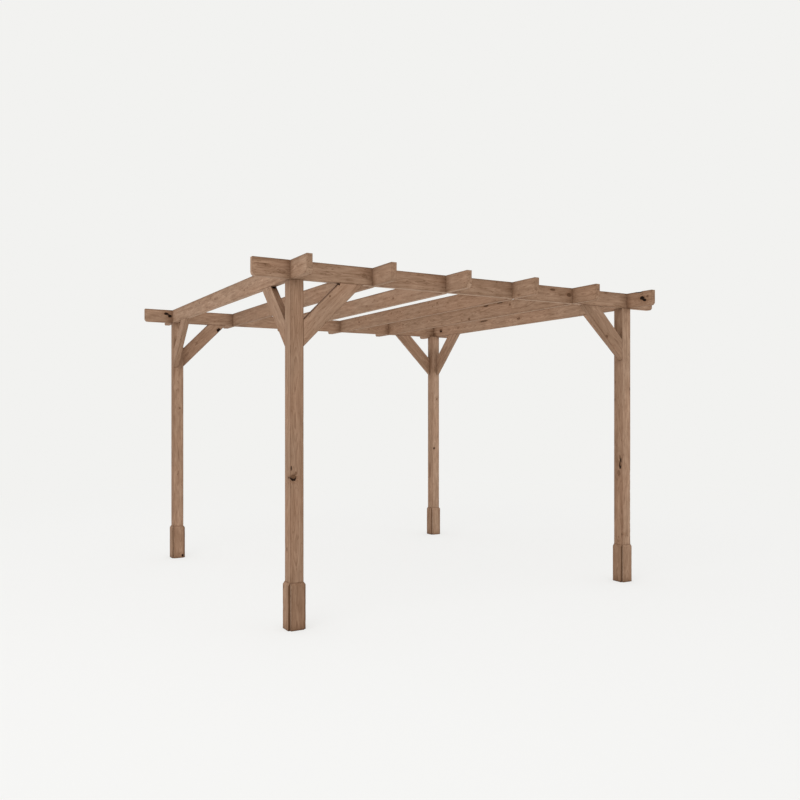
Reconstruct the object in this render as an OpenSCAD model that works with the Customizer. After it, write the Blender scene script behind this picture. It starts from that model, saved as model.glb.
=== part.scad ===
// Free-standing wooden pergola: four posts, two beams, six rafters and eight knee braces.
// X runs along the beams, Y along the rafters and Z up. The front is at -Y.
// The origin is on the ground, at the middle of the plan.

/* [Overall] */
// Height from the ground to the top of the beams and rafters
height = 2400; // [1900:10:3000]
// Distance over the outer faces of the posts, left to right
span_x = 3044; // [2000:2:4200]
// Distance over the outer faces of the posts, front to rear
span_y = 3044; // [2000:2:4200]

/* [Posts] */
// Width of a square post
post_w = 93; // [70:1:150]

/* [Beams and rafters] */
// Depth of a beam or rafter
timber_h = 122; // [90:1:200]
// Thickness of a beam or rafter
timber_t = 40; // [22:1:60]
// Length of beam beyond the outer face of a post, at each end
beam_overhang = 256; // [60:2:600]
// Length of rafter beyond the outer face of a post, at each end
rafter_overhang = 266; // [60:2:600]
// Number of rafters
rafter_count = 6; // [3:1:10]
// Radius of the rounded lower corner at each end of a beam or rafter
end_r = 30; // [5:1:60]
// Depth of the notch in the top of a beam, where a rafter crosses
beam_notch = 61; // [30:1:90]
// Side clearance of a halved crossing
lap_gap = 0.3; // [0.1:0.1:1]

/* [Knee braces] */
// Distance from the inner corner to the tip of a brace, along the post and along the timber above
brace_leg = 434; // [300:2:700]
// Width of a brace
brace_w = 122; // [70:1:160]
// Thickness of a brace
brace_t = 42; // [22:1:60]

/* [Post shoes] */
// Height of the shoe boards
shoe_h = 308; // [150:1:600]
// Thickness of the shoe boards
shoe_t = 15; // [6:1:25]
// Height of the bevel along the top edge of a shoe board
shoe_bevel = 17; // [3:1:20]
// Thickness left at the top of the bevel
shoe_lip = 1; // [0.5:0.5:4]

/* [Hidden] */
// Each corner of the plan: name, side in X, side in Y
CORNERS = [
    ["front_left", -1, -1], ["front_right", 1, -1], ["rear_left", -1, 1], ["rear_right", 1, 1]
];
// Each face of a post: name, angle that it is turned to
FACES = [["right", 0], ["rear", 90], ["left", 180], ["front", 270]];

beam_len = span_x + 2 * beam_overhang;
rafter_len = span_y + 2 * rafter_overhang;
eave_z = height - timber_h;               // underside of the beams and rafters, and top of the posts
halving_h = timber_h - beam_notch;        // height of a rafter's notch, cut from its underside
slot_w = timber_t + 2 * lap_gap;          // width of a halving notch
post_x = (span_x - post_w) / 2;           // centre of a post from the middle of the plan
post_y = (span_y - post_w) / 2;
beam_y = (span_y - timber_t) / 2;         // centre plane of a beam
outer_rafter_x = (span_x - timber_t) / 2; // centre plane of an outer rafter
rafter_pitch = 2 * outer_rafter_x / (rafter_count - 1);
through = 1;                              // how far a cutter runs past a face
$fn = 48;

stain = [0.62, 0.50, 0.41];
stain_dark = [0.57, 0.45, 0.36];
stain_light = [0.67, 0.56, 0.47];

// Centre plane of a rafter, counted from 1 at the left
function rafter_x(i) = (i - 1) * rafter_pitch - outer_rafter_x;

// Side view of a beam or rafter, lying along +X with its underside at 0 and its middle at the origin.
module timber_outline(length) {
    translate([-length / 2, end_r]) square([length, timber_h - end_r]);
    translate([-length / 2 + end_r, 0]) square([length - 2 * end_r, timber_h]);
    for (side = [-1, 1])
        translate([side * (length / 2 - end_r), end_r])
            circle(r = end_r);
}

// Timber on edge along X, centred on the X axis.
module timber(length) {
    rotate([90, 0, 0])
        linear_extrude(height = timber_t, center = true)
            timber_outline(length);
}

// side_y is -1 for the front beam and 1 for the rear beam.
module beam(side_y) {
    color(stain)
        translate([0, side_y * beam_y, eave_z])
            difference() {
                timber(beam_len);
                for (i = [1 : rafter_count])
                    translate([rafter_x(i) - slot_w / 2, -timber_t, halving_h])
                        cube([slot_w, 2 * timber_t, beam_notch + through]);
            }
}

// i counts the rafters from 1 at the left.
module rafter(i) {
    color(i % 2 == 0 ? stain_dark : stain_light)
        translate([rafter_x(i), 0, eave_z])
            difference() {
                rotate([0, 0, 90]) timber(rafter_len);
                for (side_y = [-1, 1])
                    translate([-timber_t, side_y * beam_y - slot_w / 2, -through])
                        cube([2 * timber_t, slot_w, halving_h + through]);
            }
}

module post(side_x, side_y) {
    color(stain)
        translate([side_x * post_x - post_w / 2, side_y * post_y - post_w / 2, 0])
            cube([post_w, post_w, eave_z]);
}

// Knee brace in the XZ plane, with its inner corner at the origin and its legs along +X and -Z.
module knee_brace() {
    inner_leg = brace_leg - brace_w * sqrt(2);
    rotate([90, 0, 0])
        linear_extrude(height = brace_t, center = true)
            polygon([[inner_leg, 0], [brace_leg, 0], [0, -brace_leg], [0, -inner_leg]]);
}

// Brace from a post to the beam above it.
module beam_brace(side_x, side_y) {
    color(stain_light)
        translate([side_x * (span_x / 2 - post_w), side_y * (span_y - brace_t) / 2, eave_z])
            rotate([0, 0, side_x > 0 ? 180 : 0])
                knee_brace();
}

// Brace from a post to the outer rafter above it.
module rafter_brace(side_x, side_y) {
    color(stain_dark)
        translate([side_x * (span_x - brace_t) / 2, side_y * (span_y / 2 - post_w), eave_z])
            rotate([0, 0, -90 * side_y])
                knee_brace();
}

// Shoe board on the post's face that the angle turns to: 0 right, 90 rear, 180 left, 270 front.
module shoe_board(side_x, side_y, angle) {
    color(stain_dark)
        translate([side_x * post_x, side_y * post_y, 0])
            rotate([0, 0, angle])
                translate([post_w / 2, 0, 0])
                    rotate([90, 0, 0])
                        linear_extrude(height = post_w, center = true)
                            polygon([
                                [0, 0], [shoe_t, 0], [shoe_t, shoe_h - shoe_bevel],
                                [shoe_lip, shoe_h], [0, shoe_h]
                            ]);
}

for (c = CORNERS) {
    post(c[1], c[2]);
    beam_brace(c[1], c[2]);
    rafter_brace(c[1], c[2]);
    for (f = FACES)
        shoe_board(c[1], c[2], f[1]);
}
beam(-1);  // front_beam
beam(1);  // rear_beam
for (i = [1 : rafter_count])
    rafter(i);
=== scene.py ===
import math

import bpy
import numpy as np
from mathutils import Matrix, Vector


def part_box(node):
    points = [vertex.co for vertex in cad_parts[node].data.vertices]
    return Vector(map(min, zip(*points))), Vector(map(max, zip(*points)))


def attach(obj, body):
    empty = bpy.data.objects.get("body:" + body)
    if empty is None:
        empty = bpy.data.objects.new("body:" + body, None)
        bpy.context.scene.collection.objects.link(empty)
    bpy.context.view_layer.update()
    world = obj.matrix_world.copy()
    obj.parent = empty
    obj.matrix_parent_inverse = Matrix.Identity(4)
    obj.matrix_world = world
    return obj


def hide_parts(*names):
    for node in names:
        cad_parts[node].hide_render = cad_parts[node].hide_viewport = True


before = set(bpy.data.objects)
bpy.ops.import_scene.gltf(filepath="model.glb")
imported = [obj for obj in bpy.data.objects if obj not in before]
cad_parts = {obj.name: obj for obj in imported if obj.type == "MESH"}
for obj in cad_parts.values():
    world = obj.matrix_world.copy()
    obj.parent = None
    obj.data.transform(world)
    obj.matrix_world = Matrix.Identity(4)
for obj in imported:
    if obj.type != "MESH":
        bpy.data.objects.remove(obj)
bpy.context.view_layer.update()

# Every timber has its own frame: s runs along the grain, a across its width, b through its
# thickness, and a x b points along s. Sizes are in metres and colours are linear.

# ---- sizes
ARRIS = 0.0016          # usual radius of a planed timber's long edges
END_EASE = 0.0012       # radius of the edges round an end
END_RADIUS = 0.027      # rounded lower corner of a beam or rafter
LAP_LEVEL = 0.0         # height of a halved crossing's seat, from the middle of the depth
LAP_GAP = 0.0003        # side clearance of a halved crossing
LAP_LEAN = 0.00012      # how far a notch's shoulder leans within that clearance
BRACE_WIDTH = 0.122
SHOE_BEVEL = 0.017      # height of the bevel on top of a shoe board
SHOE_LIP = 0.001        # thickness left at the top of that bevel
SWELL_START = 0.002     # a swollen timber grows from here on, past a crossing
SWELL_RAMP = 0.020      # and has grown in full this much further

KNOT_HOLLOW = 0.34      # depth of a black knot's hollow, in knot radii
HOLLOW_LIMIT = 0.005    # and its greatest depth
KNOT_RIM = 0.0003       # how far a knot's rim stands proud
PLAIN_KNOT_GAP = 0.11   # least distance along the grain from a small knot to any other
PITH_DRIFT = 0.007      # how far the pith wanders in a timber

CELL_ALONG = 0.014      # mesh cells along and across the grain
CELL_ACROSS = 0.0065
KNOT_CELL = 0.0026      # mesh cells along the grain at a knot
KNOT_REACH = 2.2        # how far those run on each side of it, in knot radii
CORNER_CELLS = 4        # cells round an arris
EASE_NODES = 4          # rings over an eased end
ROUND_NODES = 10        # rings over a rounded lower corner
LEAST_CELL = 0.001      # free rings keep this far from each other
EXACT_CLEAR = 0.0008    # and this far from the rings where the shape turns
SHARP_ANGLE = 38        # degrees over which an edge shows as sharp

# The colour is darker at the ground, a painted contact shadow and stain there, along the top of
# a beam's or a rafter's sides, and where another timber is close in front, a painted shade like
# ambient occlusion: how much, and how far that reaches.
FOOT_SHADE, FOOT_REACH = 0.34, 0.011
TOP_SHADE, TOP_REACH = 0.30, 0.010
NOOK_SHADE, NOOK_REACH = 0.20, 0.070
UNDERSIDE_CLEAR = 0.02  # keeps the dark arris lines off the undersides of beams and rafters
NO_KNOT = 5.0           # a distance in knot radii at which no knot shows

# ---- colours
EARLYWOOD = (0.350, 0.222, 0.147)
LATEWOOD = (0.215, 0.126, 0.077)
STAIN_POWERS = (1.0, 1.19, 1.39)  # how red, green and blue fall as the stain deepens
KNOT_HEART = (0.120, 0.058, 0.028)
KNOT_BLACK = (0.006, 0.0022, 0.001)
KNOT_DECAY = (0.036, 0.015, 0.0065)
RING_BEND = 0.007       # how far growth rings wander, in metres
ARRIS_STAIN = 0.0060    # width of the dark line along an arris
SEAM_STAIN = 0.0065     # width of the dark line where two timbers meet
GRAIN_DEPTH = 0.0007    # height of the grain's relief
SHEEN = 0.10            # specular level of the nearly matt stain
FLOOR_COLOUR = (0.895, 0.90, 0.90)
FLOOR_GLOW = (0.900, 0.898, 0.883)
BACKDROP_COLOUR = (0.888, 0.887, 0.871)
LIGHT_COLOUR = (1.0, 0.995, 0.985)


# ---- shapes

def wander(x, lengths, rng):
    """A smooth line from -1 to 1: the mean of sine waves of those lengths with random phases."""
    phases = rng.uniform(0, 2 * np.pi, len(lengths))
    waves = [np.sin(2 * np.pi * x / length + phase) for length, phase in zip(lengths, phases)]
    return np.mean(waves, axis=0)


def quarter_round(distance, radius):
    """How far a rounded corner has drawn in at that distance from an end.

    It follows a quarter circle: the radius at the end itself, and nothing from one radius on."""
    inside = radius - np.clip(distance, 0, radius)
    return radius - np.sqrt(radius ** 2 - inside ** 2)


def put_in_scene(name, data):
    """A new object in the scene, at the origin."""
    made = bpy.data.objects.new(name, data)
    bpy.context.scene.collection.objects.link(made)
    return made


class Ring:
    """The nodes round a timber's section, anticlockwise seen from +s.

    A node is a share (-1 to 1 in a and b) of the flat part of the section, and an outward normal.
    Along a face the share runs evenly and the normal stands still. Round an arris the share stands
    still and the normal turns by a quarter."""

    corners = np.array([(1, -1), (1, 1), (-1, 1), (-1, -1)], float)

    def __init__(self, width, thickness):
        cells = (max(2, round(thickness / CELL_ACROSS)), max(3, round(width / CELL_ACROSS)))
        turns = np.linspace(0, np.pi / 4, CORNER_CELLS // 2 + 1)
        share, angle = [], []
        for side in range(4):
            before, after = self.corners[side], self.corners[(side + 1) % 4]
            inner = np.arange(1, cells[side % 2]) / cells[side % 2]
            steps = np.concatenate([0 * turns, inner, 0 * turns[1:] + 1])
            share.append(before + np.outer(steps, after - before))
            angle.append(side * np.pi / 2 + np.concatenate([-turns[::-1], 0 * inner, turns[:-1]]))
        angle = np.concatenate(angle)
        self.share = np.concatenate(share)
        self.normal = np.stack([np.cos(angle), np.sin(angle)], -1)
        self.thin_cells, self.wide_cells = (count + CORNER_CELLS for count in cells)
        share_a, share_b = self.share.T
        self.corner_weight = np.stack(
            [(1 + share_a * at_a) * (1 + share_b * at_b) / 4 for at_a, at_b in self.corners]
        )

    def cap(self, first, spare):
        """Vertex numbers of an end's grid: the ring whose first node is numbered first runs round
        it, and the vertices from spare on fill it."""
        thin, wide, total = self.thin_cells, self.wide_cells, len(self.share)
        grid = np.zeros((thin + 1, wide + 1), int)
        p, q = np.arange(thin + 1), np.arange(wide + 1)
        grid[:, 0] = first + p
        grid[thin, :] = first + thin + q
        grid[:, wide] = first + thin + wide + (thin - p)
        grid[0, :] = first + (2 * thin + wide + (wide - q)) % total
        grid[1:-1, 1:-1] = spare + np.arange((thin - 1) * (wide - 1)).reshape(thin - 1, wide - 1)
        return grid


def filled(edge):
    """The inside of a grid from its four sides (a Coons patch): the two ruled surfaces between
    opposite sides are added, and the bilinear surface through the corners is taken away."""
    rows, columns = edge.shape[:2]
    u = np.linspace(0, 1, rows)[:, None, None]
    v = np.linspace(0, 1, columns)[None, :, None]
    ruled = (1 - u) * edge[:1] + u * edge[-1:] + (1 - v) * edge[:, :1] + v * edge[:, -1:]
    corners = ((1 - u) * (1 - v) * edge[0, 0] + u * (1 - v) * edge[-1, 0]
               + (1 - u) * v * edge[0, -1] + u * v * edge[-1, -1])
    return (ruled - corners)[1:-1, 1:-1]


def quads(grid):
    """The four vertex numbers of every cell of a grid, turned so that rows cross columns."""
    return np.stack([grid[:-1, :-1], grid[1:, :-1], grid[1:, 1:], grid[:-1, 1:]], -1).reshape(-1, 4)


class Timber:
    """One piece of timber, and the shape of its section along s.

    Its sides are a+, b+, a- and b-, numbered from 0. The values below are the usual ones, and a
    piece is made with its own for some of them."""

    every = []
    normals = np.array([(1, 0), (0, 1), (-1, 0), (0, -1)], float)  # of the sides, in a and b

    end_radius = 0.0               # rounds the a- corner of both ends
    mitre = 0.0                    # shortening of each end per metre of a
    notches = ()                   # (place along s, width, side in a) of each
    bevel = False                  # bevels the b+ edge of the s+ end
    swell = (0.0, 0.0)             # growth of a- and a+ between the notches
    wane = None                    # (corner, from, to, depth) where the tree's edge was left on
    boxed_heart = False            # the pith runs inside it
    knots = ()
    plain_knots = 1.0              # small knots per metre of a wide face
    figure = 1.0                   # strength of its streaks and mottle
    tone = 1.0
    tone_along = ((0.0, 1.0),)     # (s, factor) of each slow change
    # Side factors paint light and shade, such as lighter undersides and darker inner faces of
    # braces, and give the wood's own tone by side.
    face_light_and_tone = {}                # factor by side
    end_tones = (1.0, 1.0)
    seams = True                   # darker stain where another timber meets it

    def __init__(self, name, slot, centre, along, across, length, width, thickness, seed, **own):
        vars(self).update(own)
        self.name, self.slot = name, slot
        self.centre = np.array(centre, float)
        along, across = np.array(along, float), np.array(across, float)
        self.axes = np.stack([along, across, np.cross(along, across)])
        self.length, self.width, self.thickness = length, width, thickness
        self.rng = np.random.default_rng(seed)
        self.knots = list(self.knots)
        Timber.every.append(self)

    def stations(self):
        """Places along s for a ring: even cells, closer at knots, exact where the shape turns."""
        half = self.length / 2
        inward = [END_EASE * (1 - np.cos(np.linspace(0, np.pi / 2, EASE_NODES)))]
        if self.end_radius:
            round_it = np.linspace(0, np.pi / 2, ROUND_NODES)
            inward.append(self.end_radius * (1 - np.cos(round_it)))
        if self.bevel:
            inward.append([SHOE_BEVEL])
        inward = np.concatenate(inward)
        exact = [half - inward, inward - half]
        for place, width, _ in self.notches:
            edge = width / 2 + LAP_GAP
            exact.append(place + np.array([-edge, LAP_LEAN - edge, edge - LAP_LEAN, edge]))
        exact = np.unique(np.round(np.concatenate(exact), 6))
        free = [np.linspace(-half, half, round(self.length / CELL_ALONG) + 1)]
        for knot in self.knots:
            reach = KNOT_REACH * knot["radius"] * knot["stretch"]
            count = max(9, round(2 * reach / KNOT_CELL))
            free.append(knot["s"] + np.linspace(-reach, reach, count))
        free = np.sort(np.concatenate(free))
        free = free[np.diff(free, prepend=-half - 1) > LEAST_CELL]
        clear = np.abs(free[:, None] - exact[None, :]).min(axis=1) > EXACT_CLEAR
        return np.sort(np.concatenate([exact, free[clear & (np.abs(free) < half)]]))

    def section(self, s):
        """Lowest and highest a and b of the section at each s."""
        to_end = self.length / 2 - np.abs(s)
        drawn = quarter_round(to_end, END_EASE)
        low_a = drawn - self.width / 2
        if self.end_radius:
            low_a = low_a + quarter_round(to_end, self.end_radius)
        high_a = self.width / 2 - drawn
        low_b = drawn - self.thickness / 2
        high_b = self.thickness / 2 - drawn
        for place, width, side in self.notches:
            edge = width / 2 + LAP_GAP
            inside = np.interp(np.abs(s - place), [edge - LAP_LEAN, edge], [1, 0])
            if side > 0:
                high_a = high_a + (LAP_LEVEL - high_a) * inside
            else:
                low_a = low_a + (LAP_LEVEL - low_a) * inside
        if self.notches:
            inner = min(abs(place) - width / 2 for place, width, _ in self.notches) - SWELL_START
            swollen = np.clip((inner - np.abs(s)) / SWELL_RAMP, 0, 1)
            swollen = swollen * swollen * (3 - 2 * swollen)
            low_a = low_a - self.swell[0] * swollen
            high_a = high_a + self.swell[1] * swollen
        if self.bevel:
            slope = np.clip(1 - (self.length / 2 - s) / SHOE_BEVEL, 0, 1)
            high_b = high_b - slope * (self.thickness - SHOE_LIP - END_EASE)
        return low_a, high_a, low_b, high_b

    def distance(self, points):
        """Distance from points of the room to this timber's block, with its mitred ends."""
        s, a, b = np.moveaxis(np.abs((points - self.centre) @ self.axes.T), -1, 0)
        signed_a = (points - self.centre) @ self.axes[1]
        over = s - self.length / 2 + self.mitre * (signed_a + self.width / 2)
        over = over / math.hypot(1, self.mitre)
        outside = np.stack([over, a - self.width / 2, b - self.thickness / 2], -1)
        return np.sqrt((np.maximum(outside, 0) ** 2).sum(-1))

    def surroundings(self, points, normals):
        """Distance from each point to the nearest other timber, and a painted shade, like ambient
        occlusion, of how open the air in front of it is: every timber or floor within reach of a
        place out along the normal takes some light off."""
        gap = points[:, 2].copy()
        seams = 1.0 if self.seams else 1e3
        ahead = points + NOOK_REACH * normals
        painted_shade = 1 - NOOK_SHADE * (1 - np.clip(ahead[:, 2] / NOOK_REACH, 0, 1))
        for other in Timber.every:
            if other is not self:
                gap = np.minimum(gap, seams * (other.distance(points) + 1e-4))
                clear = np.clip(other.distance(ahead) / NOOK_REACH, 0, 1)
                painted_shade = painted_shade * (1 - NOOK_SHADE * (1 - clear * clear * (3 - 2 * clear)))
        return np.maximum(gap, 0), painted_shade

    def arris_radii(self, s, ring):
        """Radius of each corner at each s: the usual one, wandering by a third, with dents, and
        grown by the wane where the tree's own edge was left on."""
        radii = []
        for corner in range(4):
            radius = ARRIS * (1 + 0.35 * wander(s, (0.9, 0.31, 0.083), self.rng))
            for place in self.rng.uniform(-0.5, 0.5, 3) * self.length:
                dent = self.rng.uniform(0.4, 1.4) * ARRIS
                spread = self.rng.uniform(0.006, 0.022)
                radius = radius + dent * np.exp(-((s - place) / spread) ** 2)
            if self.wane and self.wane[0] == corner:
                _, start, end, depth = self.wane
                over = np.clip((s - start) / 0.1, 0, 1) * np.clip((end - s) / 0.1, 0, 1)
                radius = radius + depth * over * (0.55 + 0.45 * wander(s, (0.13, 0.051), self.rng))
            radii.append(radius)
        low_a, high_a, low_b, high_b = self.section(s)
        limit = 0.4 * np.minimum(high_a - low_a, high_b - low_b)
        radii = np.minimum(np.array(radii), limit)
        return radii.T @ ring.corner_weight

    def surface(self, s, ring):
        """Place of every ring node, as an array of stations by nodes by (s, a, b)."""
        low_a, high_a, low_b, high_b = (edge[:, None] for edge in self.section(s))
        radius = self.arris_radii(s, ring)
        share_a, share_b = ring.share.T
        normal_a, normal_b = ring.normal.T
        a = (low_a + high_a) / 2 + share_a * ((high_a - low_a) / 2 - radius) + normal_a * radius
        b = (low_b + high_b) / 2 + share_b * ((high_b - low_b) / 2 - radius) + normal_b * radius
        along = np.broadcast_to(s[:, None], a.shape) * self.mitred(a)
        depth = self.knot_relief(along, a, b)
        a = a - depth * normal_a
        b = b - depth * normal_b
        return np.stack([along, a, b], -1)

    def mitred(self, a):
        """Share of the length that mitred ends leave at each a."""
        return 1 - self.mitre * (a + self.width / 2) / (self.length / 2)

    def knot_offsets(self, points):
        """For each point, the nearest knot: its offsets along and across, in knot radii, how
        present it is, its radius and darkness, and the place of its sound heart. A knot's
        presence fades out halfway to a rival knot, so that neither shows on the line between."""
        best = np.full(points.shape[:-1], NO_KNOT)
        rival = best.copy()
        offset = np.zeros(points.shape[:-1] + (2,))
        more = np.zeros(points.shape[:-1] + (2,))
        lean = np.zeros(points.shape[:-1] + (2,))
        for knot in self.knots:
            across = 1 if knot["side"] % 2 else 2
            through = 3 - across
            outward = self.normals[knot["side"]][through - 1] * points[..., through]
            u = (points[..., 0] - knot["s"]) / (knot["radius"] * knot["stretch"])
            v = (points[..., across] - knot["across"]) / knot["radius"]
            size = np.sqrt(u ** 2 + v ** 2)
            near = (size < best) & ((outward > 0) | knot["both_sides"])
            rival = np.where(near, best, np.minimum(rival, size))
            best = np.where(near, size, best)
            offset[near] = np.stack([u, v], -1)[near]
            more[near] = (knot["radius"], knot["dark"])
            lean[near] = knot["lean"]
        outside = np.clip((best - 1.1) / 0.25, 0, 1)
        between = outside * np.clip(1.6 - (rival - best) / 0.8, 0, 1)
        present = np.clip(1.25 - best / 4, 0, 1) * (1 - between)
        return offset, present, more, lean

    def knot_relief(self, along, a, b):
        """How deep the surface lies at the knots: a black knot has shrunk into a hollow with a
        low rim, and a sound one stands slightly proud."""
        offset, present, more, lean = self.knot_offsets(np.stack([along, a, b], -1))
        away = 2 * NO_KNOT
        size = np.sqrt((offset ** 2).sum(-1)) + away * (present <= 0)
        to_heart = np.sqrt(((offset - lean) ** 2).sum(-1)) + away * (np.abs(lean).sum(-1) == 0)
        radius, dark = more[..., 0], more[..., 1]
        hollow = KNOT_HOLLOW * radius * dark * np.exp(-(size / 0.85) ** 4)
        hollow = hollow * (1 - np.exp(-(to_heart / 0.8) ** 4))
        rim = KNOT_RIM * np.exp(-((size - 1.2) / 0.35) ** 2) * (present > 0)
        return np.minimum(hollow, HOLLOW_LIMIT) * (dark > 0.5) - rim

    def scatter_knots(self):
        """Adds small plain knots at random, clear of the knots that are listed."""
        for _ in range(round(self.plain_knots * self.length)):
            place = self.rng.uniform(-0.46, 0.46) * self.length
            across = self.rng.uniform(-0.38, 0.38) * self.width
            radius = self.rng.uniform(0.0035, 0.0085)
            side = int(self.rng.integers(0, 4)) if self.boxed_heart else 1
            dark = self.rng.choice([0.10, 0.22, 0.38, 0.80], p=[0.40, 0.35, 0.20, 0.05])
            stretch = self.rng.uniform(1.2, 2.6)
            if all(abs(place - other["s"]) > PLAIN_KNOT_GAP for other in self.knots):
                through = not self.boxed_heart
                self.knots.append(knot(place, across, side, radius, dark, stretch, through))

    def build(self):
        """Makes the mesh object: rings along s, a filled grid on each end, and its attributes."""
        self.scatter_knots()
        ring = Ring(self.width, self.thickness)
        s = self.stations()
        sides = self.surface(s, ring)
        rings, around = sides.shape[:2]
        numbers = np.arange(rings * around).reshape(rings, around)
        spare = (ring.thin_cells - 1) * (ring.wide_cells - 1)
        low_cap = ring.cap(0, rings * around)
        high_cap = ring.cap((rings - 1) * around, rings * around + spare)
        flat = np.concatenate([sides.reshape(-1, 3), np.zeros((2 * spare, 3))])
        for cap in (low_cap, high_cap):
            flat[cap[1:-1, 1:-1]] = filled(flat[cap])
        closed = np.concatenate([numbers, numbers[:, :1]], axis=1)
        cells = np.concatenate([quads(closed.T), quads(low_cap.T), quads(high_cap)])
        mesh = self.mesh(flat @ self.axes + self.centre, cells)
        self.paint(mesh, flat, ring, rings)
        self.place(mesh)

    def mesh(self, points, cells):
        """A mesh of quads, smooth over gentle turns and sharp over steep ones."""
        mesh = bpy.data.meshes.new(self.name)
        mesh.vertices.add(len(points))
        mesh.vertices.foreach_set("co", points.astype(np.float32).ravel())
        mesh.loops.add(cells.size)
        mesh.loops.foreach_set("vertex_index", cells.astype(np.int32).ravel())
        mesh.polygons.add(len(cells))
        mesh.polygons.foreach_set("loop_start", np.arange(0, cells.size, 4, dtype=np.int32))
        mesh.update(calc_edges=True)
        mesh.shade_smooth()
        mesh.set_sharp_from_angle(angle=math.radians(SHARP_ANGLE))
        return mesh

    def paint(self, mesh, flat, ring, rings):
        """Writes what the wood's pattern needs to know at each vertex.

        grain: s, and a and b from the wandering pith. knot: offsets from the nearest knot and its
        presence. knot_more: its radius and darkness, and the timber's figure. knot_heart: the
        place of its sound heart. finish: the face's tone, with painted shade in nooks, a painted
        contact shadow and stain at the ground, darker along the top of the sides, and painted light
        and shade by side in it, the distance to the nearest arris, and 1 on the end grain. gap: the
        distance to the nearest other timber."""
        s, a, b = flat.T
        around = len(ring.share)
        on_sides = rings * around
        heart = self.rng.uniform(-0.012, 0.012, 2)
        if not self.boxed_heart:
            heart = heart + (0, self.rng.choice([-1, 1]) * self.rng.uniform(0.035, 0.075))
        drift_a = PITH_DRIFT * wander(s, (2.3, 1.1, 0.47), self.rng)
        drift_b = PITH_DRIFT * wander(s, (1.9, 0.83, 0.39), self.rng)
        start = self.rng.uniform(2, 40)
        grain = np.stack([s + start, a - heart[0] - drift_a, b - heart[1] - drift_b], -1)
        offset, present, more, lean = self.knot_offsets(flat)
        end = np.where(np.arange(len(flat)) < on_sides, 0.0, 1.0)
        end[:around] = 1.0
        end[on_sides - around: on_sides] = 1.0
        is_end = end > 0.5
        normal = np.zeros_like(flat)
        normal[:on_sides, 1:] = np.tile(ring.normal, (rings, 1))
        normal[:, 0] = np.sign(s) * end
        normal[is_end, 1:] = 0
        points = flat @ self.axes + self.centre
        # painted shade where another timber or the floor is close in front
        gap, painted_shade = self.surroundings(points, normal @ self.axes)
        # painted contact shadow at the ground, and darker stain there
        painted_shade = painted_shade * (1 - FOOT_SHADE * np.exp(-points[:, 2] / FOOT_REACH))

        low_a, high_a, low_b, high_b = self.section(s)
        from_a = np.maximum(a - low_a, 0), np.maximum(high_a - a, 0)
        from_b = np.maximum(b - low_b, 0), np.maximum(high_b - b, 0)
        to_edge = np.minimum.reduce([one + other for one in from_a for other in from_b])
        to_end = np.maximum(self.length / 2 * self.mitred(a) - np.abs(s), 0)
        to_edge = np.where(is_end, to_edge, np.minimum(to_edge, to_end))
        if self.end_radius:
            to_edge = to_edge + UNDERSIDE_CLEAR * np.clip(-normal[:, 1], 0, 1) ** 4
            upright = np.clip(np.abs(normal[:, 2]), 0, 1)
            painted_shade = painted_shade * (1 - TOP_SHADE * upright * np.exp((a - high_a) / TOP_REACH))
        tone = self.tone * painted_shade * np.interp(s, *np.transpose(self.tone_along))
        # painted light and shade by side, and the wood's own tone by side
        for side, factor in self.face_light_and_tone.items():
            facing = np.clip(normal[:, 1:] @ self.normals[side], 0, 1) ** 2
            tone *= 1 + (factor - 1) * facing
        tone *= np.where(is_end, np.where(s < 0, *self.end_tones), 1.0)

        even = np.ones(len(flat))
        vectors = {
            "grain": grain,
            "knot": np.column_stack([offset, present]),
            "knot_more": np.column_stack([more, self.figure * even]),
            "knot_heart": np.column_stack([lean, 0 * even]),
            "finish": np.column_stack([tone, to_edge, end]),
        }
        for label, values in vectors.items():
            attribute = mesh.attributes.new(label, "FLOAT_VECTOR", "POINT")
            attribute.data.foreach_set("vector", values.astype(np.float32).ravel())
        attribute = mesh.attributes.new("gap", "FLOAT", "POINT")
        attribute.data.foreach_set("value", gap.astype(np.float32))

    def place(self, mesh):
        """Puts the piece in the scene in place of its CAD node."""
        piece = put_in_scene(self.name + "_timber", mesh)
        mesh.materials.append(WOODS[self.slot])
        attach(piece, "root")
        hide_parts(self.name)


def knot(s, across, side, radius, dark, stretch=1.3, both_sides=False, heart=(0.0, 0.0)):
    """A knot on one side of a timber (a+, b+, a-, b- are 0 to 3), or on that side and the opposite
    one. dark is 0 for a faint sound knot and 1 for a black dead one, and stretch is along s. A
    knot whose sound heart lies off its middle, at a place in radii, is black on the other side."""
    return {"s": s, "across": across, "side": side, "radius": radius, "dark": dark,
            "stretch": stretch, "both_sides": both_sides, "lean": heart}


# ---- shader helpers

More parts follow.
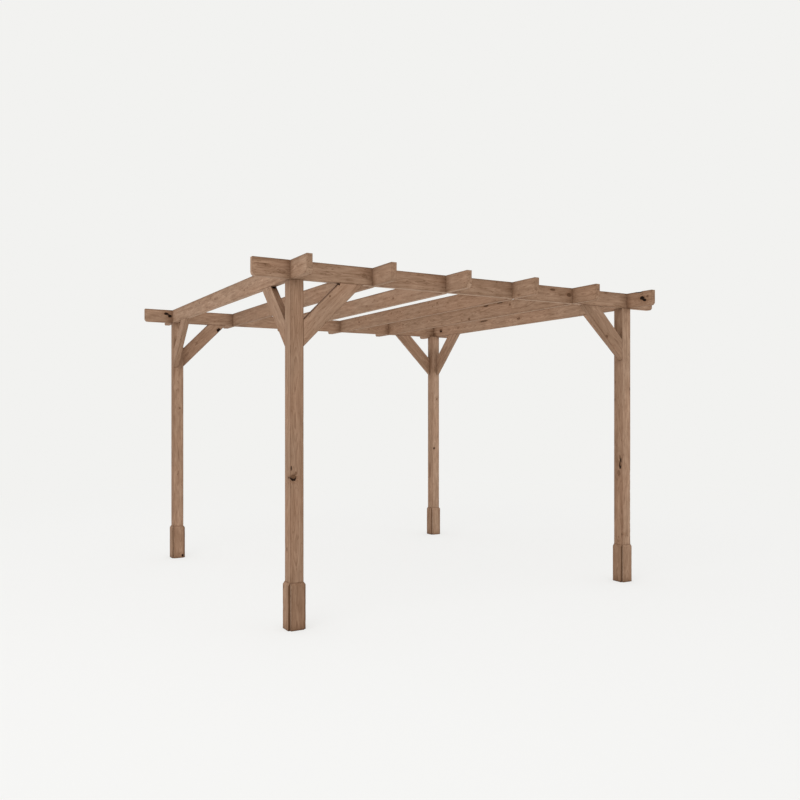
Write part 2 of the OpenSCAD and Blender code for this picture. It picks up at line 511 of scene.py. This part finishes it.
class Graph:
    """Adds nodes to one node tree. A value is a number, a tuple or another node's socket."""

    def __init__(self, tree):
        self.tree = tree

    def put(self, socket, value):
        if isinstance(value, bpy.types.NodeSocket):
            self.tree.links.new(value, socket)
        elif socket.type == "RGBA" and len(value) == 3:
            socket.default_value = (*value, 1)
        else:
            socket.default_value = value

    def node(self, kind, *values, **settings):
        """A new node. The values go to its inputs, in their order."""
        made = self.tree.nodes.new(kind)
        made.location = (180 * (len(self.tree.nodes) % 12), -220 * (len(self.tree.nodes) // 12))
        for name, setting in settings.items():
            setattr(made, name, setting)
        for socket, value in zip(made.inputs, values):
            self.put(socket, value)
        return made

    def feed(self, node, **values):
        """Puts values on a node's inputs. A keyword is an input's name with _ for a space."""
        for name, value in values.items():
            self.put(node.inputs[name.replace("_", " ")], value)
        return node.outputs

    def math(self, operation, *values):
        return self.node("ShaderNodeMath", *values, operation=operation).outputs[0]

    def add(self, *values):
        total = values[0]
        for value in values[1:]:
            total = self.math("ADD", total, value)
        return total

    def times(self, *values):
        total = values[0]
        for value in values[1:]:
            total = self.math("MULTIPLY", total, value)
        return total

    def about(self, value, amount):
        """amount times value counted from its middle, 0.5."""
        return self.times(self.math("SUBTRACT", value, 0.5), amount)

    def smooth(self, value, low, high, start=0.0, end=1.0):
        """start below low, end above high, and a smooth step between."""
        return self.node("ShaderNodeMapRange", value, low, high, start, end,
                         interpolation_type="SMOOTHSTEP").outputs[0]

    def length(self, u, v):
        return self.math("SQRT", self.add(self.times(u, u), self.times(v, v)))

    def scaled(self, vector, factors):
        return self.node("ShaderNodeVectorMath", vector, factors, operation="MULTIPLY").outputs[0]

    def split(self, vector):
        return self.node("ShaderNodeSeparateXYZ", vector).outputs

    def noise(self, vector, factors, detail=2.0, roughness=0.5):
        """Noise from 0 to 1 with that many lumps a metre along each axis."""
        return self.feed(self.node("ShaderNodeTexNoise"), Vector=self.scaled(vector, factors),
                         Scale=1.0, Detail=detail, Roughness=roughness)["Fac"]

    def mix(self, share, first, second):
        """The first colour where share is 0, and the second where it is 1."""
        made = self.node("ShaderNodeMix", data_type="RGBA", clamp_factor=True)
        self.put(made.inputs[0], share)
        self.put(made.inputs[6], first)
        self.put(made.inputs[7], second)
        return made.outputs[2]

    def shade(self, colour, factor):
        """colour times a plain factor."""
        made = self.node("ShaderNodeVectorMath", colour, operation="SCALE")
        return self.feed(made, Scale=factor)[0]

    def warm_shade(self, colour, factor):
        """colour times a factor that takes more off the green and the blue, as deeper stain does."""
        powers = [self.math("POWER", factor, power) for power in STAIN_POWERS]
        return self.scaled(colour, self.node("ShaderNodeCombineXYZ", *powers).outputs[0])

    def attribute(self, name, output="Vector"):
        made = self.node("ShaderNodeAttribute", attribute_type="GEOMETRY", attribute_name=name)
        return made.outputs[output]

    def group(self, tree, **values):
        return self.feed(self.node("ShaderNodeGroup", node_tree=tree), **values)


VECTORS = ("Grain", "Knot", "Knot More", "Knot Heart", "Finish")
KINDS = {"Colour": "NodeSocketColor", **dict.fromkeys(VECTORS, "NodeSocketVector")}


def effect(name, inputs, outputs, build):
    """A shader node group with named inputs and outputs, each a plain value unless KINDS has it.

    build(graph, inputs) returns what goes to the outputs, in their order."""
    tree = bpy.data.node_groups.new(name, "ShaderNodeTree")
    for in_out, labels in (("INPUT", inputs), ("OUTPUT", outputs)):
        for label in labels:
            kind = KINDS.get(label, "NodeSocketFloat")
            tree.interface.new_socket(name=label, in_out=in_out, socket_type=kind)
    graph = Graph(tree)
    given = graph.node("NodeGroupInput").outputs
    graph.node("NodeGroupOutput", *build(graph, given))
    return tree


# ---- wood effects

def growth_rings(g, given):
    """Rings round the pith: distance from it, bent by noise and pushed aside by knots, wraps once
    per ring. Latewood darkens slowly through a ring and stops short. Ring tone differs by ring."""
    grain, spot = given["Grain"], given["Knot"]
    _, a, b = g.split(grain)
    u, v, present = g.split(spot)
    size_squared = g.add(g.times(u, u), g.times(v, v))
    here = g.smooth(present, 0.15, 0.45)
    pushed = g.math("DIVIDE", g.times(given["Knot Radius"], v), g.add(size_squared, 0.35))
    pushed = g.times(pushed, here)
    bend = g.times(g.about(g.noise(grain, (0.9, 9, 9)), 2.0), given["Waviness"])
    fine_bend = g.about(g.noise(grain, (6, 70, 70)), 0.0011)
    distance = g.length(a, b)
    count = g.math("DIVIDE", g.add(distance, bend, fine_bend, pushed), given["Spacing"])
    through = g.math("FRACT", count)
    late = g.times(g.smooth(through, 0.25, 0.90), g.smooth(through, 0.93, 1.0, 1.0, 0.0))
    random = g.node("ShaderNodeTexWhiteNoise", noise_dimensions="1D")
    return late, g.feed(random, W=g.math("FLOOR", count))["Value"]


def fibres(g, given):
    """Streaks along the grain: broad ones a few centimetres apart, fine hair-like ones, and the
    mottle of a stain that has soaked in unevenly, a hand long and a finger wide. Specks are
    sparse short dashes where it has soaked in deepest."""
    grain = given["Grain"]
    broad = g.noise(grain, (0.55, 46, 46), detail=3.0, roughness=0.6)
    fine = g.noise(grain, (9, 520, 520), detail=2.0, roughness=0.6)
    mottle = g.noise(g.scaled(grain, (1, 1, 1.13)), (8, 44, 44), detail=4.0, roughness=0.62)
    specks = g.noise(g.scaled(grain, (1, 1.07, 1)), (24, 88, 88), detail=3.0, roughness=0.6)
    return broad, fine, mottle, g.smooth(specks, 0.58, 0.74)


def knot_marks(g, given):
    """A knot's heart, its bark ring and the darker wood round it, with an uneven outline.

    Rotten is 1 in the knot, and outside its sound heart where that lies off the middle."""
    grain = given["Grain"]
    u, v, present = g.split(given["Knot"])
    heart_u, heart_v, _ = g.split(given["Knot Heart"])
    here = g.smooth(present, 0.15, 0.45)
    uneven = g.add(1.0, g.about(g.noise(grain, (70, 110, 110), detail=3.0), 0.7))
    size = g.times(g.length(u, v), uneven)
    heart = g.times(g.smooth(size, 0.70, 1.05, 1.0, 0.0), here)
    bark = g.times(g.smooth(size, 0.62, 0.90), g.smooth(size, 0.95, 1.22, 1.0, 0.0), here)
    halo = g.times(g.smooth(size, 0.9, 2.7, 1.0, 0.0), here)
    off_middle = g.smooth(g.length(heart_u, heart_v), 0.1, 0.3)
    from_u, from_v = g.math("SUBTRACT", u, heart_u), g.math("SUBTRACT", v, heart_v)
    to_heart = g.times(g.length(from_u, from_v), uneven)
    sound = g.times(g.smooth(to_heart, 0.78, 0.98, 1.0, 0.0), off_middle)
    rotten = g.times(g.smooth(size, 0.88, 1.06, 1.0, 0.0), g.math("SUBTRACT", 1.0, sound), here)
    return heart, bark, halo, rotten


def arris_marks(g, given):
    """Along the long edges: stain gathers in a thin dark line, and rubs off in pale patches."""
    grain, edge = given["Grain"], given["Edge Distance"]
    ragged = g.about(g.noise(grain, (22, 60, 60), detail=3.0), given["Width"])
    near = g.add(edge, ragged)
    dark = g.smooth(near, 0.0, given["Width"], 1.0, 0.0)
    rubbed = g.smooth(g.noise(grain, (7, 30, 30), detail=3.0), 0.60, 0.70)
    pale = g.times(g.smooth(near, 0.0, 0.0022, 1.0, 0.0), rubbed)
    return dark, pale


def end_cracks(g, given):
    """Fine cracks that run out from the pith on the end grain: noise round the pith's angle."""
    _, a, b = g.split(given["Grain"])
    angle, distance = g.math("ARCTAN2", b, a), g.length(a, b)
    place = g.node("ShaderNodeCombineXYZ", g.times(angle, 5.0), g.times(distance, 16.0))
    lines = g.noise(place.outputs[0], (1, 1, 1))
    return (g.times(g.smooth(lines, 0.60, 0.66), given["End Grain"]),)


RINGS = effect("Growth rings", ["Grain", "Knot", "Knot Radius", "Spacing", "Waviness"],
               ["Latewood", "Ring Tone"], growth_rings)
FIBRES = effect("Fibres", ["Grain"], ["Broad", "Fine", "Mottle", "Specks"], fibres)
KNOTS = effect("Knot marks", ["Grain", "Knot", "Knot Heart"],
               ["Heart", "Bark", "Halo", "Rotten"], knot_marks)
ARRISES = effect("Arris marks", ["Grain", "Edge Distance", "Width"], ["Dark", "Pale"], arris_marks)
CRACKS = effect("End cracks", ["Grain", "End Grain"], ["Cracks"], end_cracks)


def stained_timber(g, given):
    """Brown stain on softwood: rings and streaks under it, blotches in it, knots through it.

    Puts out the colour, the roughness and the height of the surface."""
    grain, spot = given["Grain"], given["Knot"]
    knot_radius, knot_dark, figure = g.split(given["Knot More"])
    mottled = g.times(given["Mottle Contrast"], figure)
    tone, edge, end = g.split(given["Finish"])
    rings = g.group(RINGS, Grain=grain, Knot=spot, Knot_Radius=knot_radius,
                    Spacing=given["Ring Spacing"], Waviness=RING_BEND)
    streaks = g.group(FIBRES, Grain=grain)
    marks = g.group(KNOTS, Grain=grain, Knot=spot, Knot_Heart=given["Knot Heart"])
    edges = g.group(ARRISES, Grain=grain, Edge_Distance=edge, Width=ARRIS_STAIN)
    cracks = g.group(CRACKS, Grain=grain, End_Grain=end)["Cracks"]
    late, fine, broad = rings["Latewood"], streaks["Fine"], streaks["Broad"]

    contrast = g.add(given["Ring Contrast"], g.times(end, 0.15))
    colour = g.mix(g.times(late, contrast), EARLYWOOD, LATEWOOD)
    shade = g.add(1.0, g.about(broad, g.times(given["Streak Contrast"], figure)),
                  g.about(fine, 0.22), g.about(streaks["Mottle"], mottled),
                  g.about(rings["Ring Tone"], 0.10))
    # tone brings in the painted shade of nooks and the ground, and the painted light and shade by
    # side
    shade = g.times(shade, g.add(1.0, g.times(streaks["Specks"], mottled, -0.44)), tone)
    seam = g.add(given["Gap"], g.about(g.noise(grain, (22, 60, 60), detail=3.0), 0.004))
    shade = g.times(shade, g.smooth(seam, 0.0, SEAM_STAIN, 0.80, 1.0))
    colour = g.warm_shade(colour, shade)
    blotch = g.noise(grain, (1.6, 5, 5), detail=2.0)
    colour = g.mix(g.smooth(blotch, 0.38, 0.66), colour, g.scaled(colour, (1.03, 0.99, 0.97)))
    colour = g.mix(g.times(edges["Dark"], given["Edge Stain"]), colour, g.warm_shade(colour, 0.45))
    colour = g.mix(g.times(edges["Pale"], 0.35), colour, g.shade(colour, 1.35))
    colour = g.mix(g.times(end, 0.5), colour, g.shade(colour, 0.93))

    darkness = g.smooth(knot_dark, 0.0, 0.7, 0.25, 0.75)
    darker = g.scaled(colour, (0.72, 0.58, 0.48))
    colour = g.mix(g.times(marks["Halo"], darkness, 0.5), colour, darker)
    colour = g.mix(g.times(marks["Heart"], darkness), colour, KNOT_HEART)
    colour = g.mix(g.times(marks["Bark"], darkness), colour, g.shade(KNOT_HEART, 0.7))
    black = g.times(g.smooth(knot_dark, 0.45, 0.95), marks["Rotten"])
    black = g.math("MAXIMUM", black, g.times(cracks, 0.35))
    decay = g.smooth(g.noise(grain, (90, 230, 230), detail=3.0), 0.46, 0.66)
    colour = g.mix(black, colour, g.mix(decay, KNOT_BLACK, KNOT_DECAY))

    roughness = g.add(0.76, g.times(late, -0.06), g.about(fine, 0.14), g.times(end, 0.12),
                      g.times(edges["Pale"], -0.08))
    height = g.add(g.times(late, 0.30), g.times(fine, 0.55), g.about(broad, 0.35),
                   g.times(marks["Bark"], -0.8), g.times(cracks, -1.5))
    return colour, roughness, height


TIMBER = effect("Stained timber",
                ["Grain", "Knot", "Knot More", "Knot Heart", "Finish", "Gap", "Ring Spacing",
                 "Ring Contrast", "Streak Contrast", "Mottle Contrast", "Edge Stain"],
                ["Colour", "Roughness", "Height"], stained_timber)


def new_material(name):
    """An empty material, and the graph to fill it with."""
    material = bpy.data.materials.new(name)
    material.use_nodes = True
    return material, Graph(material.node_tree)


def wood_material(name, ring_spacing, ring_contrast, streaks, mottle, edge_stain):
    """One slot's finish: the stained timber effect, with the slot's own grain, on a plain shader."""
    material, g = new_material(name)
    shader = material.node_tree.nodes["Principled BSDF"]
    wood = g.group(TIMBER, Grain=g.attribute("grain"), Knot=g.attribute("knot"),
                   Knot_More=g.attribute("knot_more"), Knot_Heart=g.attribute("knot_heart"),
                   Finish=g.attribute("finish"), Gap=g.attribute("gap", "Fac"),
                   Ring_Spacing=ring_spacing, Ring_Contrast=ring_contrast,
                   Streak_Contrast=streaks, Mottle_Contrast=mottle, Edge_Stain=edge_stain)
    relief = g.node("ShaderNodeBump")
    g.feed(relief, Strength=0.5, Distance=GRAIN_DEPTH, Height=wood["Height"])
    g.feed(shader, Base_Color=wood["Colour"], Roughness=wood["Roughness"],
           Specular_IOR_Level=SHEEN, Normal=relief.outputs[0])
    return material


WOODS = {
    part + "_wood": wood_material("stained_" + part + "_wood", *finish) for part, finish in {
        "post": (0.0034, 0.50, 0.50, 0.70, 0.55),
        "shoe": (0.0029, 0.45, 0.60, 0.90, 0.45),
        "beam": (0.0031, 0.50, 0.60, 1.00, 0.60),
        "rafter": (0.0030, 0.50, 0.50, 0.90, 0.55),
        "brace": (0.0032, 0.50, 0.50, 0.85, 0.55),
    }.items()
}


# ---- the pergola's pieces

CORNERS = {"front_left": (-1, -1), "front_right": (1, -1),
           "rear_left": (-1, 1), "rear_right": (1, 1)}
FACES = {"right": (1, 0), "rear": (0, 1), "left": (-1, 0), "front": (0, -1)}
UP = np.array([0.0, 0.0, 1.0])


def box(node):
    """Middle and size of a CAD node's box."""
    low, high = (np.array(corner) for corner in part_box(node))
    return (low + high) / 2, high - low


def post(corner, seed):
    """A square post: s up, a to the right, b to the rear."""
    name = "post_" + corner
    middle, size = box(name)
    Timber(name, "post_wood", middle, UP, (1, 0, 0), size[2], size[0], size[1], seed,
           boxed_heart=True, **POST_MARKS[corner])


def shoe_board(corner, face, seed):
    """A shoe board: s up, b outward, bevelled along the top of its outer face."""
    name = "shoe_" + corner + "_" + face
    middle, size = box(name)
    outward = np.array((*FACES[face], 0.0))
    across = np.cross(outward, UP)
    # The narrow sides darker: stain that gathers there, and painted shade in the corner notches.
    marks = {"tone": 0.93, "face_light_and_tone": {0: 0.8, 2: 0.8}}
    marks.update(SHOE_MARKS.get((corner, face), {}))
    Timber(name, "shoe_wood", middle, UP, across, size[2], float(np.abs(size @ across)),
           float(np.abs(size @ outward)), seed, bevel=True, seams=False, **marks)


def beam(name, seed):
    """A beam: s to the right, a up, notched from above for each rafter."""
    middle, size = box(name)
    notches = []
    for i in range(1, RAFTER_COUNT + 1):
        crossing, across = box("rafter_" + str(i))
        notches.append((crossing[0] - middle[0], across[0], 1))
    Timber(name, "beam_wood", middle, (1, 0, 0), UP, size[0], size[2], size[1], seed,
           end_radius=END_RADIUS, notches=notches, **BEAM_MARKS[name])


def rafter(i, seed):
    """A rafter: s to the rear, a up, notched from below over each beam."""
    name = "rafter_" + str(i)
    middle, size = box(name)
    notches = []
    for node in ("front_beam", "rear_beam"):
        crossing, across = box(node)
        notches.append((crossing[1] - middle[1], across[1], -1))
    Timber(name, "rafter_wood", middle, (0, 1, 0), UP, size[1], size[2], size[0], seed,
           end_radius=END_RADIUS, notches=notches, **RAFTER_MARKS[i])


def brace(kind, corner, seed):
    """A knee brace: s from the post up to the timber above, a towards the inner corner."""
    name = kind + "_brace_" + corner
    middle, size = box(name)
    side_x, side_y = CORNERS[corner]
    inward = np.array((-side_x, 0.0, 0.0)) if kind == "beam" else np.array((0.0, -side_y, 0.0))
    leg, thick = size[2], min(size[0], size[1])
    along = (inward + UP) / math.sqrt(2)
    across = (UP - inward) / math.sqrt(2)
    corner_point = middle - inward * leg / 2 + UP * leg / 2
    to_middle = leg / math.sqrt(2) - BRACE_WIDTH / 2
    Timber(name, "brace_wood", corner_point - across * to_middle, along, across,
           leg * math.sqrt(2), BRACE_WIDTH, thick, seed, mitre=1.0,
           **BRACE_MARKS.get((kind, corner), {"tone": 0.98}))


RAFTER_COUNT = sum(name.startswith("rafter_") and name[7:].isdigit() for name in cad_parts)

POST_MARKS = {
    "front_left": {
        "tone": 0.92, "face_light_and_tone": {2: 1.07}, "figure": 0.9,
        "knots": [knot(-0.15, -0.025, 3, 0.021, 1.0, 0.95, heart=(0.62, 0.05)),
                  knot(-0.088, -0.04, 3, 0.0045, 0.85, 3.4),
                  knot(-0.12, -0.008, 3, 0.008, 0.4, 1.2), knot(-0.62, 0.012, 2, 0.009, 0.4)]},
    "front_right": {
        "tone": 1.1, "face_light_and_tone": {2: 0.77}, "figure": 1.6, "wane": (0, -0.84, -0.12, 0.005),
        "knots": [knot(-0.168, -0.023, 2, 0.0125, 1.0, 2.3, heart=(0.55, -0.5)),
                  knot(-0.13, -0.031, 2, 0.006, 1.0, 3.6),
                  knot(-0.235, -0.008, 2, 0.014, 0.35, 1.6), knot(-0.099, -0.018, 2, 0.007, 0.4, 2),
                  knot(-0.742, -0.042, 2, 0.004, 0.7, 2.5), knot(0.467, 0.04, 3, 0.004, 0.6, 3.0),
                  knot(0.379, 0.038, 2, 0.005, 0.5, 2.0)]},
    "rear_left": {
        "tone": 0.98, "face_light_and_tone": {2: 0.88}, "figure": 1.6,
        "knots": [knot(0.31, 0.01, 3, 0.007, 0.45)]},
    "rear_right": {
        "tone": 1.17, "face_light_and_tone": {2: 0.81}, "figure": 1.4,
        "knots": [knot(-0.147, -0.021, 3, 0.011, 0.95, 1.1), knot(0.42, 0.014, 3, 0.008, 0.45),
                  knot(-0.4, 0.0, 2, 0.012, 0.3, 7.0)]},
}
# The side factors in the corner notches are painted light and shade, on top of the stain of the
# narrow sides.
SHOE_MARKS = {
    ("front_left", "front"): {"tone": 0.78, "face_light_and_tone": {0: 1.9, 2: 0.8}},
    ("front_left", "left"): {
        "tone": 0.97, "face_light_and_tone": {0: 0.8, 2: 0.5}, "knots": [knot(0.12, 0.03, 1, 0.008, 0.4)]},
    ("front_right", "front"): {"tone": 1.0, "face_light_and_tone": {0: 1.15, 2: 0.8}},
    ("front_right", "left"): {"tone": 0.78, "face_light_and_tone": {0: 0.8, 2: 0.6}},
    ("rear_left", "front"): {
        "tone": 0.94, "face_light_and_tone": {0: 1.5, 2: 0.8},
        "knots": [knot(-0.131, -0.034, 1, 0.009, 0.95)]},
    ("rear_left", "left"): {"tone": 0.92, "face_light_and_tone": {0: 0.8, 2: 1.0}},
    ("rear_right", "front"): {"tone": 1.06, "face_light_and_tone": {0: 1.5, 2: 0.8}},
    ("rear_right", "left"): {"tone": 0.77, "face_light_and_tone": {0: 0.8, 2: 0.8}},
}
# Side 2 of a beam is its underside, and its side factor there is painted light from below.
BEAM_MARKS = {
    "front_beam": {
        "tone": 0.93, "end_tones": (1.25, 1.1), "face_light_and_tone": {2: 1.42}, "figure": 1.12,
        "tone_along": ((-0.7, 1.0), (-0.1, 0.95), (0.25, 0.96), (0.7, 1.01), (1.2, 1.05)),
        "knots": [knot(-0.83, -0.036, 1, 0.006, 0.7), knot(1.244, 0.05, 1, 0.01, 0.25, 1.8),
                  knot(0.68, 0.034, 1, 0.008, 0.62, 3.0), knot(0.847, 0.004, 1, 0.013, 0.55, 1.6),
                  knot(-1.71, 0.02, 1, 0.0035, 0.45, 15.0),
                  # the black mark at -1.176 on the underside is a painted shadow in the corner above
                  # the front left beam brace, made as a knot
                  knot(-1.58, -0.022, 1, 0.012, 0.05, 2.0), knot(-1.176, 0.0, 2, 0.005, 0.85)]},
    "rear_beam": {
        "tone": 0.96, "face_light_and_tone": {2: 1.2}, "tone_along": ((-1.75, 1.1), (-1.45, 1.0)),
        "knots": [knot(-1.58, 0.023, 1, 0.012, 1.0, 1.7, True),
                  knot(-1.545, 0.003, 1, 0.013, 1.0, 1.4),
                  knot(1.586, 0.021, 1, 0.011, 0.9, 1.4, True)]},
}
# Side 2 of a rafter is its underside; its side factor there paints the light from below.
RAFTER_MARKS = {
    1: {"tone": 1.04, "face_light_and_tone": {2: 1.12}, "swell": (0.0026, 0.0), "figure": 1.2,
        "end_tones": (0.9, 1.0), "tone_along": ((-1.7, 1.04), (-1.4, 1.0)),
        "knots": [knot(-0.625, -0.02, 3, 0.006, 0.6), knot(0.55, 0.02, 3, 0.007, 0.4)]},
    2: {"tone": 0.985, "face_light_and_tone": {2: 0.98}, "swell": (0.0022, 0.0006), "end_tones": (0.95, 1.0),
        "knots": [knot(-1.02, 0.015, 3, 0.007, 0.45)]},
    3: {"face_light_and_tone": {2: 1.18}, "swell": (0.0028, 0.0012),
        "knots": [knot(-0.75, -0.01, 3, 0.008, 0.4)]},
    4: {"tone": 0.945, "face_light_and_tone": {2: 1.08}, "swell": (0.004, 0.0006), "end_tones": (0.94, 1.0),
        "knots": [knot(-0.468, 0.026, 3, 0.008, 0.45), knot(0.35, 0.02, 3, 0.007, 0.45)]},
    5: {"tone": 0.91, "face_light_and_tone": {2: 1.16}, "swell": (0.002, 0.0016),
        "knots": [knot(-0.72, 0.023, 3, 0.009, 0.55), knot(-0.094, -0.043, 3, 0.012, 0.5),
                  knot(-0.364, 0.05, 3, 0.006, 0.75, 6.0), knot(-0.576, 0.054, 3, 0.005, 0.75, 8.0),
                  knot(-1.2, 0.0, 3, 0.008, 0.4)]},
    6: {"tone": 0.96, "face_light_and_tone": {2: 1.1}, "swell": (0.0021, 0.0),
        "tone_along": ((-1.65, 0.96), (-1.35, 1.0)),
        "knots": [knot(-1.687, 0.005, 3, 0.014, 1.0, 1.7, True),
                  knot(-1.716, -0.015, 3, 0.0105, 1, 1.6), knot(-1.745, 0.013, 3, 0.007, 0.55, 1.6),
                  knot(-1.66, 0.058, 3, 0.0075, 1.0, 4.2), knot(-0.454, 0.049, 3, 0.006, 0.72, 14),
                  knot(-0.085, -0.003, 3, 0.01, 0.55, 2.5), knot(0.494, 0.029, 3, 0.007, 0.7, 9),
                  knot(1.325, -0.002, 3, 0.018, 1.0, 1.4, heart=(0.1, 0.9))]},
}
# Side 0 of a brace faces the inner corner; a side factor below 1 there is painted shade.
BRACE_MARKS = {
    ("beam", "front_left"): {
        "tone": 1.02, "face_light_and_tone": {0: 0.6},
        "knots": [knot(0.068, 0.047, 1, 0.005, 0.6, 1.2, True),
                  knot(0.1745, 0.0575, 1, 0.0062, 1.0, 1.0), knot(-0.176, 0.008, 0, 0.005, 0.8)]},
    ("beam", "front_right"): {
        "tone": 0.95, "knots": [knot(-0.05, -0.048, 1, 0.009, 0.55, 1.4, True)]},
    ("beam", "rear_left"): {"knots": [knot(0.224, -0.046, 1, 0.016, 1.0, 1.3, True)]},
    ("rafter", "front_left"): {
        "tone": 1.03, "face_light_and_tone": {0: 0.72}, "knots": [knot(0.172, 0.0, 0, 0.014, 0.9, 1.0)]},
}

for number, corner in enumerate(CORNERS):
    post(corner, 100 + number)
    for turn, face in enumerate(FACES):
        shoe_board(corner, face, 200 + 10 * number + turn)
    brace("beam", corner, 300 + number)
    brace("rafter", corner, 320 + number)
beam("front_beam", 400)
beam("rear_beam", 401)
for i in range(1, RAFTER_COUNT + 1):
    rafter(i, 500 + i)
for piece in Timber.every:
    piece.build()


# ---- floor, light and camera

FLOOR_RADIUS = 60.0
FLOOR_LEVEL = -0.0004
FLOOR_RINGS, FLOOR_SPOKES = 40, 96
FLOOR_NEAR = 3.4         # the floor's own colour ends here, from the middle of the plan
FLOOR_FAR = 9.0          # and has turned into the backdrop's colour here
FLOOR_GLOW_SHARE = 0.68  # share of the near floor that glows evenly and takes no shadow
SKY_STRENGTH = 0.93
LAMP_PLACE = (-6.0, -4.5, 8.0)
LAMP_AIM = (0.0, 0.0, 1.2)
LAMP_SIZE = 6.0
LAMP_POWER = 180.0
CAMERA_PLACE = (-3.4939, -6.3535, 1.424)
CAMERA_TURN = 30.01      # degrees to the right of the rear
LENS = 36.0              # focal length and sensor width, in millimetres
SENSOR = 36.0
LENS_RISE = 0.01342      # upward shift of the frame, in frame widths


def floor():
    """A disc: rings of points at growing radii, so its cells stay even round the object."""
    around = np.linspace(0, 2 * np.pi, FLOOR_SPOKES + 1)[:-1]
    radii = FLOOR_RADIUS * np.linspace(0.02, 1, FLOOR_RINGS) ** 2
    x, y = np.outer(radii, np.cos(around)), np.outer(radii, np.sin(around))
    points = np.stack([x, y, np.full_like(x, FLOOR_LEVEL)], -1).reshape(-1, 3)
    numbers = np.arange(len(points)).reshape(len(radii), -1)
    closed = np.concatenate([numbers, numbers[:, :1]], axis=1)
    cells = [tuple(cell) for cell in quads(closed)] + [tuple(numbers[0])]
    mesh = bpy.data.meshes.new("floor")
    mesh.from_pydata(points, [], cells)
    mesh.materials.append(floor_material())
    put_in_scene("floor", mesh)


def floor_material():
    """Matt pale floor that fades into the backdrop's colour with distance from the middle."""
    material, g = new_material("pale_floor")
    material.node_tree.nodes.clear()
    place = g.node("ShaderNodeTexCoord").outputs["Object"]
    away = g.node("ShaderNodeVectorMath", place, operation="LENGTH").outputs["Value"]
    glow = g.mix(g.smooth(away, FLOOR_NEAR, FLOOR_FAR), FLOOR_GLOW, BACKDROP_COLOUR)
    share = g.smooth(away, FLOOR_NEAR, FLOOR_FAR, FLOOR_GLOW_SHARE, 1.0)
    matt = g.node("ShaderNodeBsdfDiffuse", FLOOR_COLOUR).outputs[0]
    plain = g.node("ShaderNodeEmission", glow).outputs[0]
    both = g.node("ShaderNodeMixShader", share, matt, plain).outputs[0]
    g.node("ShaderNodeOutputMaterial", both)
    return material


def studio_light():
    """Even white light from all round, a broad soft lamp above the front left, and the backdrop's
    colour for camera rays."""
    world = bpy.data.worlds.new("studio")
    bpy.context.scene.world = world
    world.use_nodes = True
    world.node_tree.nodes.clear()
    g = Graph(world.node_tree)
    to_camera = g.node("ShaderNodeLightPath").outputs["Is Camera Ray"]
    light = g.node("ShaderNodeBackground", LIGHT_COLOUR, SKY_STRENGTH).outputs[0]
    seen = g.node("ShaderNodeBackground", BACKDROP_COLOUR).outputs[0]
    both = g.node("ShaderNodeMixShader", to_camera, light, seen).outputs[0]
    g.node("ShaderNodeOutputWorld", both)
    lamp = bpy.data.lights.new("soft_lamp", "AREA")
    lamp.shape = "DISK"
    lamp.size = LAMP_SIZE
    lamp.energy = LAMP_POWER
    placed = put_in_scene("soft_lamp", lamp)
    placed.location = LAMP_PLACE
    aim = np.array(LAMP_AIM) - np.array(placed.location)
    tilt = math.acos(-aim[2] / np.linalg.norm(aim))
    placed.rotation_euler = (tilt, 0, math.atan2(aim[1], aim[0]) - math.pi / 2)


def camera():
    """The camera: level, turned to the right from looking to the rear, its frame shifted up."""
    lens = bpy.data.cameras.new("camera")
    lens.lens = LENS
    lens.shift_y = LENS_RISE
    lens.sensor_width = SENSOR
    lens.clip_end = 500.0
    placed = put_in_scene("camera", lens)
    placed.location = CAMERA_PLACE
    placed.rotation_euler = (math.radians(90), 0, math.radians(-CAMERA_TURN))
    bpy.context.scene.camera = placed


floor()
studio_light()
camera()
bpy.context.scene.view_settings.view_transform = "Standard"
